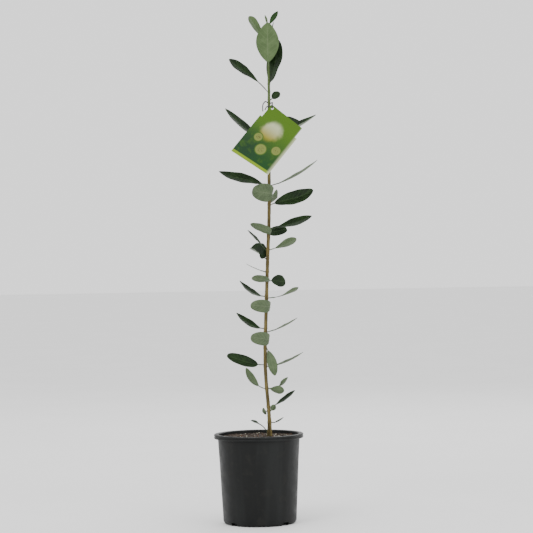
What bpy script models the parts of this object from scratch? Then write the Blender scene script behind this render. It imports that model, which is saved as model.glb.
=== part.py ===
"""A young pineapple guava in a round nursery pot, with its hang tag.

One upright stem rises from the potting mix and carries small leathery leaves in
opposite pairs, each pair turned across the one below it. Every leaf is a solid of
its own: a round stalk that opens into a folded blade. The pot is a thin moulded
shell filled with potting mix, and a card tag hangs from the stem by a wire tie.

Metres, +Z up. The origin is the centre of the pot's flat underside. +X is to the
right as the pot is seen from the front, and +Y points to the back.
"""

import math
from collections import namedtuple

import bmesh
import bpy
from mathutils import Vector

MM = 0.001
CLEAR = 0.3 * MM

# Pot
POT_HEIGHT = 150 * MM
POT_LIP_RADIUS = 75.2 * MM
POT_NECK_RADIUS = 68.8 * MM
POT_WAIST_RADIUS = 66.2 * MM
POT_WAIST_HEIGHT = 98 * MM
POT_FOOT_RADIUS = 61.6 * MM
POT_FOOT_ROUND = 6 * MM
POT_WALL = 1.6 * MM
POT_FLOOR = 2.0 * MM
LIP_HEIGHT = 7.6 * MM
LIP_SKIRT = 2.2 * MM
LIP_ROUND = 1.1 * MM
POT_SIDES = 48
DRAIN_COUNT = 4
DRAIN_WIDTH = 12 * MM
DRAIN_HEIGHT = 5.5 * MM
DRAIN_DEPTH = 14 * MM

# Potting mix
SOIL_LEVEL = 145 * MM
SOIL_EDGE_DROP = 1.5 * MM

# Trunk: height above the pot's underside, and sideways place, of its centre line
TRUNK_COURSE = (
    (145, 18.0, 0.0),
    (172, 18.3, 0.0),
    (197, 17.0, 0.5),
    (222, 15.0, 1.0),
    (256, 13.2, 1.0),
    (298, 13.3, 0.5),
    (332, 14.9, 0.0),
    (391, 17.6, -0.5),
    (441, 19.8, -1.0),
    (491, 22.5, -1.0),
    (525, 23.8, -0.5),
    (558, 24.3, 0.0),
    (642, 25.6, 1.0),
    (710, 26.6, 1.0),
    (768, 26.8, 0.5),
    (840, 27.0, 0.0),
)
TRUNK_RADIUS = 3.1 * MM
TRUNK_TIP_RADIUS = 0.8 * MM
TRUNK_TAPER_POWER = 5.0
TRUNK_TAPER_ROOT = 0.55
FLARE_RADIUS = 1.7 * MM
FLARE_REACH = 16 * MM
FLARE_LOBES = 3
FLARE_LOBE_DEPTH = 0.16
TRUNK_SIDES = 12
TRUNK_RINGS = 30

# Leaves
STALK_RADIUS = 0.85 * MM
LEAF_THICK_SHARE = 0.013
LEAF_LEAST_THICK = 0.75 * MM
BROAD_LEAF = 18 * MM

# Hang tag
TAG_WIDTH = 77 * MM
TAG_BODY_HEIGHT = 79.5 * MM
TAG_HEADER_LEFT = 27 * MM
TAG_HEADER_RIGHT = 20.5 * MM
TAG_HEADER_INSET = 4 * MM
TAG_THICK = 1.2 * MM
TAG_HOLE_RADIUS = 2.2 * MM
TAG_HOLE_EDGE = 5.5 * MM
TAG_HANG_POINT = Vector((32.0, -9.0, 694.5)) * MM
TAG_TURN = 35.0
TAG_LEAN_ACROSS = -0.30
TAG_LEAN_ALONG = 0.26

# Wire tie: it rings the trunk, drops to the tag's hole and leaves two loose ends
TIE_RADIUS = 0.7 * MM
TIE_HEIGHT = 705 * MM
TIE_SLACK = 0.45 * MM
TIE_SIDES = 6
TIE_STEPS = 4
TIE_LONG_END = (
    Vector((-10.6, -8.2, -15.0)) * MM,
    Vector((-10.8, -7.8, -9.0)) * MM,
    Vector((-10.0, -7.0, -3.0)) * MM,
    Vector((-6.4, -5.0, 1.8)) * MM,
)
TIE_SHORT_END = (
    Vector((2.4, -6.6, -8.0)) * MM,
    Vector((-2.4, -6.2, -6.4)) * MM,
    Vector((-5.2, -6.8, -8.8)) * MM,
    Vector((-7.1, -7.4, -12.6)) * MM,
)

# A leaf's place and shape, in millimetres and degrees. height is where its stalk
# meets the trunk; right, back and up reach from the trunk's centre line there to the
# leaf's tip. turn swings the stalk's root round the trunk from the tip's bearing.
# roll turns the blade about its midrib, and twist adds to that by the tip. fold lifts
# each half of the blade from flat, rise1 and rise2 bow the midrib up from the straight
# line a third and two thirds along, and sway bows it sideways. widest is how far along
# the blade its greatest width lies, and blunt is small for round ends, near 1 for
# pointed ones.
Leaf = namedtuple(
    "Leaf",
    "name height right back up width stalk turn roll twist fold rise1 rise2 sway widest blunt",
)


def leaf(name, height, right, back, up, width, stalk=6, turn=0, roll=0, twist=0, fold=14,
         rise1=0, rise2=0, sway=0, widest=0.5, blunt=0.75):
    return Leaf(name, height, right, back, up, width, stalk, turn, roll, twist, fold,
                rise1, rise2, sway, widest, blunt)


LEAVES = (
    leaf("leaf_01_left", 153, -31, -14, 20, 12, stalk=15, roll=-25, rise1=9, rise2=1),
    leaf("leaf_01_right", 168, 24, 6, 8, 8, stalk=4, roll=8, rise1=-4, rise2=-4),
    leaf("leaf_02_left", 187, -11, 10, -2, 13, stalk=3, roll=70, blunt=0.6),
    leaf("leaf_02_front", 187, 11, -9, 11, 10, stalk=2, roll=-70, blunt=0.7),
    leaf("leaf_02_right", 194, 45, 5, 27, 14, stalk=10, roll=24, rise1=-4, rise2=-4,
         widest=0.55, blunt=0.6),
    leaf("leaf_03_left", 225, -34, -14, 36, 13, stalk=15, roll=55, rise1=-9, rise2=-14,
         widest=0.6, blunt=0.6),
    leaf("leaf_03_front", 225, 29, -12, -2, 15, stalk=3, roll=-75, rise1=-1, rise2=-2,
         widest=0.6, blunt=0.5),
    leaf("leaf_03_right", 225, 36, 10, 18, 12, stalk=21, roll=-50, rise1=-6, rise2=-9),
    leaf("leaf_04_left", 265, -64, -6, 17, 21, stalk=10, roll=-60, rise1=-5, rise2=-2,
         blunt=0.42),
    leaf("leaf_04_right", 262, 64, 4, 23, 17, stalk=10, roll=-16, rise1=-6, rise2=-8),
    leaf("leaf_05_front", 293, 16, -12, -46, 17, stalk=6, roll=-119, rise1=7, rise2=5,
         widest=0.6, blunt=0.6),
    leaf("leaf_06_front", 305, -24, -32, 7, 23, stalk=2, turn=112, roll=80, fold=5,
         rise1=-1, rise2=2, blunt=0.5),
    leaf("leaf_06_back", 306, -2, 34, 6, 15, stalk=5, fold=18),
    leaf("leaf_07_left", 326, -49, 4, 27, 17, stalk=6, roll=-36, rise1=-8, rise2=-7),
    leaf("leaf_07_right", 320, 54, 4, 23, 14, stalk=13, roll=-14, rise1=-3, rise2=-6),
    leaf("leaf_08_front", 361, -26, -32, 5, 22, stalk=2, turn=112, roll=80, fold=5,
         rise1=-1, rise2=1, blunt=0.5),
    leaf("leaf_08_back", 362, -2, 33, 6, 15, stalk=5, fold=18),
    leaf("leaf_09_left", 380, -45, 3, 27, 18, stalk=6, roll=-25, rise1=-8, rise2=-10),
    leaf("leaf_09_right", 377, 54, -3, 17, 17, stalk=8, roll=5, twist=-40, rise1=-4,
         rise2=-7, widest=0.75),
    leaf("leaf_10_front", 405, -25, -26, 7, 15, stalk=2, turn=85, roll=50, fold=6,
         widest=0.65, blunt=0.6),
    leaf("leaf_10_back", 406, 31, 22, -2, 22, stalk=6, roll=75, rise1=1, widest=0.55,
         blunt=0.5),
    leaf("leaf_11_left", 421, -35, 0, 14, 14, stalk=6, rise1=-1, rise2=-2, fold=4),
    leaf("leaf_12_left", 443, -29, 12, 17, 38, stalk=2, roll=-28, fold=50, rise1=3,
         rise2=1, blunt=0.42),
    leaf("leaf_13_left", 458, -34, 5, 34, 13, stalk=10, roll=-14, rise1=1, rise2=-1),
    leaf("leaf_13_right", 458, 48, -8, 18, 17, stalk=7, roll=-50, rise1=-2, rise2=-2,
         widest=0.68, blunt=0.6),
    leaf("leaf_14_front", 484, -30, -18, 18, 17, stalk=2, turn=85, roll=45, fold=6,
         blunt=0.6),
    leaf("leaf_14_back", 485, 31, 28, 8, 18, stalk=3, turn=40, roll=65, blunt=0.45),
    leaf("leaf_15_right", 494, 73, 8, 20, 24, stalk=7, roll=35, rise1=-3, rise2=-5,
         widest=0.6),
    leaf("leaf_16_right", 534, 74, 2, 24, 27, stalk=6, roll=60, rise1=1, rise2=-9,
         widest=0.55, blunt=0.52),
    leaf("leaf_17_front", 549, -28, -30, 8, 31, stalk=2, turn=100, roll=78, fold=5,
         blunt=0.5),
    leaf("leaf_17_right", 548, 14, 15, -2, 27, stalk=3, roll=-60, blunt=0.8),
    leaf("leaf_17_back", 546, -12, 48, 16, 26, stalk=6, roll=-8),
    leaf("leaf_18_left", 566, -84, -6, 25, 24, stalk=9, roll=-45, rise1=4, rise2=-7),
    leaf("leaf_18_right", 566, 82, 4, 42, 20, stalk=14, roll=-11, rise1=-7, rise2=-11),
    leaf("leaf_19_back", 604, 4, 58, 30, 28, stalk=6, roll=10, rise1=4, rise2=3),
    leaf("leaf_20_left", 641, -73, 4, 56, 24, stalk=8, roll=-32, rise1=-9, rise2=-10,
         widest=0.6),
    leaf("leaf_20_right", 641, 80, 4, 43, 28, stalk=8, roll=16, fold=30, rise1=-3,
         rise2=-6),
    leaf("leaf_21_right", 668, 54, 48, 7, 26, stalk=6, roll=60, blunt=0.6),
    leaf("leaf_21_left", 668, -18, 36, 8, 22, stalk=6, roll=-20),
    leaf("leaf_22_right", 710, 18, 6, 13, 14, stalk=4, roll=60, blunt=0.5),
    leaf("leaf_23_left", 724, -66, 2, 56, 24, stalk=18, roll=-42, rise1=9, rise2=-4,
         widest=0.66, blunt=0.6),
    leaf("leaf_23_right", 737, 16, 24, 78, 31, stalk=4, sway=5, widest=0.38, blunt=0.62),
    leaf("leaf_24_front", 768, 0, -18, 70, 39, stalk=5, fold=8, sway=1.5, widest=0.5,
         blunt=0.7),
    leaf("leaf_24_back", 768, 0, 22, 52, 30, stalk=5),
    leaf("leaf_25_left", 800, -32, -4, 50, 18, stalk=10, roll=40, rise1=2, rise2=3,
         widest=0.68, blunt=0.5),
    leaf("leaf_25_right", 800, 10, 6, 42, 16, stalk=5, roll=-20),
    leaf("leaf_26_right", 835, 17, 2, 24, 10, stalk=3, roll=60, sway=1.5),
    leaf("leaf_26_left", 836, -5, -4, 16, 6, stalk=2),
)

# Colours, as linear red, green and blue
POT_BLACK = (0.012, 0.013, 0.013)
SOIL_BROWN = (0.035, 0.022, 0.014)
BARK_OLIVE = (0.12, 0.085, 0.028)
LEAF_GREEN = (0.020, 0.038, 0.016)
LEAF_YOUNG = (0.030, 0.065, 0.018)
TAG_GREEN = (0.13, 0.27, 0.015)
TIE_BLACK = (0.01, 0.01, 0.012)


def clear_scene():
    for item in list(bpy.data.objects):
        bpy.data.objects.remove(item)


def make_material(name, colour, roughness):
    material = bpy.data.materials.new(name)
    material.use_nodes = True
    shader = material.node_tree.nodes["Principled BSDF"]
    shader.inputs["Base Color"].default_value = (*colour, 1.0)
    shader.inputs["Roughness"].default_value = roughness
    shader.inputs["Metallic"].default_value = 0.0
    material.diffuse_color = (*colour, 1.0)
    return material


def add_object(name, bm, colour, roughness, smooth_angle=40.0):
    bmesh.ops.recalc_face_normals(bm, faces=bm.faces)
    mesh = bpy.data.meshes.new(name)
    bm.to_mesh(mesh)
    bm.free()
    mesh.shade_smooth()
    mesh.set_sharp_from_angle(angle=math.radians(smooth_angle))
    mesh.materials.append(make_material(name + "_finish", colour, roughness))
    item = bpy.data.objects.new(name, mesh)
    bpy.context.collection.objects.link(item)
    return item


def skin_rings(bm, rings):
    """Joins rings of equal length into a tube and closes both ends."""
    loops = [[bm.verts.new(point) for point in ring] for ring in rings]
    count = len(loops[0])
    for lower, upper in zip(loops, loops[1:]):
        for i in range(count):
            j = (i + 1) % count
            bm.faces.new((lower[i], lower[j], upper[j], upper[i]))
    bm.faces.new(list(reversed(loops[0])))
    bm.faces.new(loops[-1])


def spin_profile(profile, sides):
    """Turns a profile of (radius, height) about the Z axis; its ends lie on the axis."""
    bm = bmesh.new()
    bottom = bm.verts.new((0.0, 0.0, profile[0][1]))
    top = bm.verts.new((0.0, 0.0, profile[-1][1]))
    rings = []
    for radius, height in profile[1:-1]:
        ring = []
        for i in range(sides):
            angle = 2 * math.pi * i / sides
            ring.append(bm.verts.new((radius * math.cos(angle), radius * math.sin(angle), height)))
        rings.append(ring)
    for i in range(sides):
        j = (i + 1) % sides
        bm.faces.new((bottom, rings[0][j], rings[0][i]))
        for lower, upper in zip(rings, rings[1:]):
            bm.faces.new((lower[i], lower[j], upper[j], upper[i]))
        bm.faces.new((top, rings[-1][i], rings[-1][j]))
    return bm


def arc(centre, radius, start, end, steps):
    """Points on an arc in the (radius, height) plane; angles in degrees from outward."""
    points = []
    for i in range(steps + 1):
        angle = math.radians(start + (end - start) * i / steps)
        points.append((centre[0] + radius * math.cos(angle), centre[1] + radius * math.sin(angle)))
    return points


def inner_radius(height):
    """Radius of the pot's inner wall at a height above the floor."""
    if height < POT_WAIST_HEIGHT:
        share = (height - POT_FOOT_ROUND) / (POT_WAIST_HEIGHT - POT_FOOT_ROUND)
        outer = POT_FOOT_RADIUS + (POT_WAIST_RADIUS - POT_FOOT_RADIUS) * max(share, 0.0)
    else:
        share = (height - POT_WAIST_HEIGHT) / (POT_HEIGHT - LIP_HEIGHT - POT_WAIST_HEIGHT)
        outer = POT_WAIST_RADIUS + (POT_NECK_RADIUS - POT_WAIST_RADIUS) * min(share, 1.0)
    return outer - POT_WALL


def build_pot():
    lip_bottom = POT_HEIGHT - LIP_HEIGHT
    round_centre = (POT_FOOT_RADIUS - POT_FOOT_ROUND, POT_FOOT_ROUND)
    inner_round = POT_FOOT_ROUND - POT_WALL
    lip_inner = POT_LIP_RADIUS - LIP_SKIRT
    profile = [(0.0, 0.0)]
    profile += arc(round_centre, POT_FOOT_ROUND, -90, 0, 4)
    profile += [
        (POT_WAIST_RADIUS, POT_WAIST_HEIGHT),
        (POT_NECK_RADIUS, lip_bottom),
        (POT_NECK_RADIUS, POT_HEIGHT - LIP_SKIRT),
        (lip_inner, POT_HEIGHT - LIP_SKIRT),
        (lip_inner, lip_bottom),
        (POT_LIP_RADIUS, lip_bottom),
    ]
    lip_centre = (POT_LIP_RADIUS - LIP_ROUND, POT_HEIGHT - LIP_ROUND)
    profile += arc(lip_centre, LIP_ROUND, 0, 90, 2)
    profile += [
        (POT_NECK_RADIUS - POT_WALL, POT_HEIGHT),
        (inner_radius(lip_bottom), lip_bottom),
        (inner_radius(POT_WAIST_HEIGHT), POT_WAIST_HEIGHT),
    ]
    profile += arc(round_centre, inner_round, 0, -90, 3)[:-1]
    profile += [(POT_FOOT_RADIUS - POT_FOOT_ROUND, POT_FLOOR), (0.0, POT_FLOOR)]
    pot = add_object("pot", spin_profile(profile, POT_SIDES), POT_BLACK, 0.5)

    cutters = bmesh.new()
    for i in range(DRAIN_COUNT):
        angle = math.radians(45 + 360 * i / DRAIN_COUNT)
        slot = bmesh.ops.create_cube(cutters, size=1.0)["verts"]
        for vert in slot:
            along = POT_FOOT_RADIUS + vert.co.x * DRAIN_DEPTH
            across = vert.co.y * DRAIN_WIDTH
            height = vert.co.z * 2 * DRAIN_HEIGHT
            vert.co = (
                along * math.cos(angle) - across * math.sin(angle),
                along * math.sin(angle) + across * math.cos(angle),
                height,
            )
    cutter = add_object("drain_cutter", cutters, POT_BLACK, 0.5)
    cutter.hide_render = True
    cutter.display_type = 'WIRE'
    cut = pot.modifiers.new("drain_slots", 'BOOLEAN')
    cut.operation = 'DIFFERENCE'
    cut.object = cutter


def build_soil():
    round_centre = (POT_FOOT_RADIUS - POT_FOOT_ROUND, POT_FOOT_ROUND)
    inner_round = POT_FOOT_ROUND - POT_WALL - CLEAR
    bottom = POT_FLOOR + CLEAR
    lip_bottom = POT_HEIGHT - LIP_HEIGHT
    edge = SOIL_LEVEL - SOIL_EDGE_DROP
    profile = [(0.0, bottom), (round_centre[0], bottom)]
    profile += arc(round_centre, inner_round, -60, 0, 2)
    profile += [
        (inner_radius(POT_WAIST_HEIGHT) - CLEAR, POT_WAIST_HEIGHT),
        (inner_radius(lip_bottom) - CLEAR, lip_bottom),
        (inner_radius(lip_bottom) - CLEAR, edge),
        (inner_radius(lip_bottom) - 8 * SOIL_EDGE_DROP, SOIL_LEVEL),
        (0.0, SOIL_LEVEL),
    ]
    add_object("potting_mix", spin_profile(profile, POT_SIDES), SOIL_BROWN, 0.95)


def trunk_centre(height):
    """Centre line of the trunk, a smooth curve through TRUNK_COURSE."""
    rows = [Vector((x, y, z)) * MM for z, x, y in TRUNK_COURSE]
    height = min(max(height, rows[0].z), rows[-1].z)
    index = max(i for i in range(len(rows) - 1) if rows[i].z <= height)
    p1, p2 = rows[index], rows[index + 1]
    p0 = rows[index - 1] if index else p1 - (p2 - p1)
    p3 = rows[index + 2] if index + 2 < len(rows) else p2 + (p2 - p1)
    t = (height - p1.z) / (p2.z - p1.z)
    slope1 = (p2 - p0) * ((p2.z - p1.z) / (p2.z - p0.z))
    slope2 = (p3 - p1) * ((p2.z - p1.z) / (p3.z - p1.z))
    point = (
        p1 * (2 * t ** 3 - 3 * t ** 2 + 1)
        + slope1 * (t ** 3 - 2 * t ** 2 + t)
        + p2 * (3 * t ** 2 - 2 * t ** 3)
        + slope2 * (t ** 3 - t ** 2)
    )
    return Vector((point.x, point.y, height))


def trunk_radius(height):
    foot = TRUNK_COURSE[0][0] * MM
    tip = TRUNK_COURSE[-1][0] * MM
    share = min(max((height - foot) / (tip - foot), 0.0), 1.0)
    taper = (1 - share ** TRUNK_TAPER_POWER) ** TRUNK_TAPER_ROOT
    flare = FLARE_RADIUS * math.exp(-(height - foot) / FLARE_REACH)
    return max(TRUNK_RADIUS * taper, TRUNK_TIP_RADIUS) + flare


def trunk_reach(height, angle):
    """Distance of the trunk's surface from its centre line, root lobes included."""
    fade = math.exp(-(height - TRUNK_COURSE[0][0] * MM) / FLARE_REACH)
    lobes = 1 + FLARE_LOBE_DEPTH * fade * math.cos(FLARE_LOBES * angle + 0.6)
    return trunk_radius(height) * lobes


def build_trunk():
    foot = TRUNK_COURSE[0][0] * MM + CLEAR
    tip = TRUNK_COURSE[-1][0] * MM
    rings = []
    for i in range(TRUNK_RINGS + 1):
        share = i / TRUNK_RINGS
        height = foot + (tip - foot) * share ** 1.25
        centre = trunk_centre(height)
        ring = []
        for k in range(TRUNK_SIDES):
            angle = 2 * math.pi * k / TRUNK_SIDES
            reach = trunk_reach(height, angle)
            ring.append(centre + Vector((reach * math.cos(angle), reach * math.sin(angle), 0)))
        rings.append(ring)
    bm = bmesh.new()
    skin_rings(bm, rings)
    add_object("trunk", bm, BARK_OLIVE, 0.8)


def bezier(p0, p1, p2, p3, t):
    s = 1 - t
    return p0 * s ** 3 + p1 * 3 * s * s * t + p2 * 3 * s * t * t + p3 * t ** 3


def leaf_course(spec):
    """Root, the two middle control points and tip of a leaf's midrib."""
    axis = trunk_centre(spec.height * MM)
    tip = axis + Vector((spec.right, spec.back, spec.up)) * MM
    bearing = math.atan2(spec.back, spec.right) + math.radians(spec.turn)
    outward = Vector((math.cos(bearing), math.sin(bearing), 0))
    root = axis + outward * (trunk_reach(spec.height * MM, bearing) + CLEAR)
    chord = tip - root
    level = Vector((chord.x, chord.y, 0))
    bow = level.normalized().cross(Vector((0, 0, 1))) * spec.sway * MM
    first = root + outward * level.length / 3 + bow
    first.z += chord.z / 3 + spec.rise1 * MM
    second = root + chord * 2 / 3 + bow
    second.z += spec.rise2 * MM
    return root, first, second, tip, outward


def blade_half_width(spec, share):
    """Half the blade's width at a share of the way from its base to its tip."""
    power = math.log(0.5) / math.log(spec.widest)
    return 0.5 * spec.width * MM * math.sin(math.pi * share ** power) ** spec.blunt


def leaf_section(side, normal, half, thick, fold, segments):
    """Offsets of one ring: the upper face from edge to edge, then the lower one back."""
    ring = []
    spots = [-1 + 2 * i / segments for i in range(segments + 1)]
    for sign, row in ((1, spots), (-1, reversed(spots))):
        for spot in row:
            across = half * spot * math.cos(fold)
            lift = half * abs(spot) * math.sin(fold)
            ring.append(side * across + normal * (lift + sign * thick / 2))
    return ring


def stalk_section(side, normal, radius, segments):
    """A round ring with as many points, in the same order, as leaf_section gives."""
    ring = []
    count = 2 * (segments + 1)
    for i in range(count):
        angle = math.pi - (i + 0.5) * 2 * math.pi / count
        ring.append(side * radius * math.cos(angle) + normal * radius * math.sin(angle))
    return ring


def build_leaf(spec):
    root, first, second, tip, outward = leaf_course(spec)
    length = (tip - root).length
    stalk_share = spec.stalk * MM / length
    segments = 4 if spec.width * MM >= BROAD_LEAF else 2
    blade_rings = 6 + round(length / (24 * MM))
    thick = max(LEAF_LEAST_THICK, LEAF_THICK_SHARE * length)
    rings = []
    stops = [0.0, 0.92 * stalk_share]
    blade_stops = []
    for i in range(1, blade_rings + 1):
        share = (1 - math.cos(math.pi * i / (blade_rings + 0.6))) / 2
        blade_stops.append(share)
    for along in stops + [stalk_share + (1 - stalk_share) * s for s in blade_stops]:
        centre = bezier(root, first, second, tip, along)
        step = bezier(root, first, second, tip, along + 0.01)
        tangent = (step - centre).normalized()
        if along == 0.0:
            tangent = outward
        level = tangent.cross(Vector((0, 0, 1))).normalized()
        upright = level.cross(tangent)
        blade_share = (along - stalk_share) / (1 - stalk_share)
        roll = math.radians(spec.roll + spec.twist * max(blade_share, 0.0))
        if along == 0.0:
            roll = 0.0
        side = level * math.cos(roll) - upright * math.sin(roll)
        normal = upright * math.cos(roll) + level * math.sin(roll)
        if blade_share <= 0:
            ring = stalk_section(side, normal, STALK_RADIUS, segments)
        else:
            half = max(blade_half_width(spec, blade_share), STALK_RADIUS)
            fold = math.radians(spec.fold) * min(1.0, 4 * blade_share)
            ring = leaf_section(side, normal, half, thick, fold, segments)
        rings.append([centre + offset for offset in ring])
    bm = bmesh.new()
    skin_rings(bm, rings)
    young = spec.height * MM > 0.9 * TRUNK_COURSE[-1][0] * MM
    add_object(spec.name, bm, LEAF_YOUNG if young else LEAF_GREEN, 0.45)


def tag_frame():
    """The hang tag's own directions: across its width, up its height, out of its face."""
    turn = math.radians(TAG_TURN)
    across_flat = math.sqrt(1 - TAG_LEAN_ACROSS ** 2)
    across = Vector((
        across_flat * math.cos(turn), TAG_LEAN_ACROSS, -across_flat * math.sin(turn)
    ))
    rough_up = Vector((math.sin(turn), TAG_LEAN_ALONG, math.cos(turn)))
    up = (rough_up - across * rough_up.dot(across)).normalized()
    return across, up, across.cross(up)


def tag_outline():
    """Corners of the card, counter-clockwise, with its narrower header strip."""
    left = TAG_HEADER_INSET
    right = TAG_WIDTH - TAG_HEADER_INSET
    return [
        (0.0, 0.0),
        (TAG_WIDTH, 0.0),
        (TAG_WIDTH, TAG_BODY_HEIGHT),
        (right, TAG_BODY_HEIGHT),
        (right, TAG_BODY_HEIGHT + TAG_HEADER_RIGHT),
        (left, TAG_BODY_HEIGHT + TAG_HEADER_LEFT),
        (left, TAG_BODY_HEIGHT),
        (0.0, TAG_BODY_HEIGHT),
    ]


def build_tag():
    across, up, face = tag_frame()
    hole_x = TAG_HEADER_INSET + TAG_HOLE_EDGE
    hole_y = TAG_BODY_HEIGHT + TAG_HEADER_LEFT - TAG_HOLE_EDGE
    corner = TAG_HANG_POINT - across * hole_x - up * hole_y
    bm = bmesh.new()
    faces = []
    for depth in (-0.5 * TAG_THICK, 0.5 * TAG_THICK):
        outline = [
            bm.verts.new(corner + across * x + up * y + face * depth)
            for x, y in tag_outline()
        ]
        faces.append(outline)
    skin_pair(bm, faces[0], faces[1])
    tag = add_object("tag", bm, TAG_GREEN, 0.35)

    hole = bmesh.new()
    rings = []
    for depth in (-3 * TAG_THICK, 3 * TAG_THICK):
        ring = []
        for i in range(12):
            angle = 2 * math.pi * i / 12
            spoke = across * math.cos(angle) + up * math.sin(angle)
            ring.append(TAG_HANG_POINT + spoke * TAG_HOLE_RADIUS + face * depth)
        rings.append(ring)
    skin_rings(hole, rings)
    cutter = add_object("tag_hole_cutter", hole, TAG_GREEN, 0.35)
    cutter.hide_render = True
    cutter.display_type = 'WIRE'
    cut = tag.modifiers.new("tie_hole", 'BOOLEAN')
    cut.operation = 'DIFFERENCE'
    cut.object = cutter


def tie_course():
    """Points the wire passes through, from its long loose end to its short one."""
    centre = trunk_centre(TIE_HEIGHT)
    across, up, face = tag_frame()
    rise = (Vector((0, 0, 1)) - face * face.z).normalized()
    ring = trunk_radius(TIE_HEIGHT) + TIE_RADIUS + TIE_SLACK
    points = [centre + offset for offset in TIE_LONG_END]
    for degrees in (190, 145, 100, 55, 10, -30):
        angle = math.radians(degrees)
        spoke = Vector((ring * math.cos(angle), ring * math.sin(angle), 0))
        points.append(centre + spoke + Vector((0, 0, (degrees - 60) * 0.01 * MM)))
    bend = TAG_HOLE_RADIUS - TIE_RADIUS - TIE_SLACK
    through = TAG_HANG_POINT + rise * bend
    points += [
        through + face * 2.2 * MM + rise * 9.0 * MM,
        through + face * 2.2 * MM + rise * 5.0 * MM,
        through + face * 2.0 * MM + rise * 2.0 * MM,
        through + face * 1.2 * MM + rise * 0.3 * MM,
        through - face * 1.2 * MM + rise * 0.3 * MM,
    ]
    return points + [centre + offset for offset in TIE_SHORT_END]


def smooth_course(points, steps):
    """Catmull-Rom curve through the points."""
    course = []
    padded = [2 * points[0] - points[1]] + list(points) + [2 * points[-1] - points[-2]]
    for p0, p1, p2, p3 in zip(padded, padded[1:], padded[2:], padded[3:]):
        for i in range(steps):
            t = i / steps
            course.append(0.5 * (
                2 * p1 + (p2 - p0) * t
                + (2 * p0 - 5 * p1 + 4 * p2 - p3) * t * t
                + (3 * p1 - p0 - 3 * p2 + p3) * t ** 3
            ))
    return course + [points[-1]]


def build_tie():
    course = smooth_course(tie_course(), TIE_STEPS)
    normal = Vector((0, 1, 0))
    rings = []
    for i, centre in enumerate(course):
        before = course[max(i - 1, 0)]
        after = course[min(i + 1, len(course) - 1)]
        tangent = (after - before).normalized()
        normal = (normal - tangent * normal.dot(tangent)).normalized()
        side = tangent.cross(normal)
        ring = []
        for k in range(TIE_SIDES):
            angle = 2 * math.pi * k / TIE_SIDES
            spoke = normal * math.cos(angle) + side * math.sin(angle)
            ring.append(centre + spoke * TIE_RADIUS)
        rings.append(ring)
    bm = bmesh.new()
    skin_rings(bm, rings)
    add_object("tag_tie", bm, TIE_BLACK, 0.5)


def skin_pair(bm, lower, upper):
    count = len(lower)
    for i in range(count):
        j = (i + 1) % count
        bm.faces.new((lower[i], lower[j], upper[j], upper[i]))
    bm.faces.new(list(reversed(lower)))
    bm.faces.new(upper)


def main():
    clear_scene()
    build_pot()
    build_soil()
    build_trunk()
    for spec in LEAVES:
        build_leaf(spec)
    build_tag()
    build_tie()


main()
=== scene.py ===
"""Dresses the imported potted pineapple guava: finer leaves, bark, pot, mix, tag and tie."""

import math
import random
from collections import namedtuple

import bmesh
import bpy
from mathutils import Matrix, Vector, noise


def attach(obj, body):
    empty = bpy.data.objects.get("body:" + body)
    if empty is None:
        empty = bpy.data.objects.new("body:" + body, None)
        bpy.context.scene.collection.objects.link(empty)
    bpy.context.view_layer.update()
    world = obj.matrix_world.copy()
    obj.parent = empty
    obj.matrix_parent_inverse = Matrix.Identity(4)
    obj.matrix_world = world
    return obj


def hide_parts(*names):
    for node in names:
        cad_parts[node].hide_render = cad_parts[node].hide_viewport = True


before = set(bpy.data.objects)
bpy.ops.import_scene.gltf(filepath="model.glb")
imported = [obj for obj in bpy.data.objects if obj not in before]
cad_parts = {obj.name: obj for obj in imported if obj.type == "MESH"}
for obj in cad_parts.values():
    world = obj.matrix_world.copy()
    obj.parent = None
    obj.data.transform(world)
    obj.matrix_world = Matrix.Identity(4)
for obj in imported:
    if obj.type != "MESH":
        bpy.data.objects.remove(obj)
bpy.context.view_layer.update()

MM = 0.001
CLEAR = 0.3 * MM

# Pot
POT_HEIGHT = 150 * MM
POT_LIP_RADIUS = 75.2 * MM
POT_NECK_RADIUS = 68.8 * MM
POT_WAIST_RADIUS = 66.2 * MM
POT_WAIST_HEIGHT = 98 * MM
POT_FOOT_RADIUS = 61.6 * MM
POT_FOOT_ROUND = 6 * MM
POT_WALL = 1.6 * MM
POT_FLOOR = 2.0 * MM
LIP_HEIGHT = 7.6 * MM
LIP_SKIRT = 2.2 * MM
DRAIN_COUNT = 4
DRAIN_WIDTH = 12 * MM
DRAIN_HEIGHT = 5.5 * MM
DRAIN_DEPTH = 14 * MM

# Potting mix
SOIL_LEVEL = 145 * MM

# Trunk: height above the pot's underside, and sideways place, of its centre line
TRUNK_COURSE = (
    (145, 18.0, 0.0),
    (172, 18.3, 0.0),
    (197, 17.0, 0.5),
    (222, 15.0, 1.0),
    (256, 13.2, 1.0),
    (298, 13.3, 0.5),
    (332, 14.9, 0.0),
    (391, 17.6, -0.5),
    (441, 19.8, -1.0),
    (491, 22.5, -1.0),
    (525, 23.8, -0.5),
    (558, 24.3, 0.0),
    (642, 25.6, 1.0),
    (710, 26.6, 1.0),
    (768, 26.8, 0.5),
    (840, 27.0, 0.0),
)
TRUNK_RADIUS = 3.1 * MM
TRUNK_TIP_RADIUS = 0.8 * MM
TRUNK_TAPER_POWER = 5.0
TRUNK_TAPER_ROOT = 0.55
FLARE_RADIUS = 1.7 * MM
FLARE_REACH = 16 * MM
FLARE_LOBES = 3
FLARE_LOBE_DEPTH = 0.16

# Leaves
STALK_RADIUS = 0.85 * MM

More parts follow.
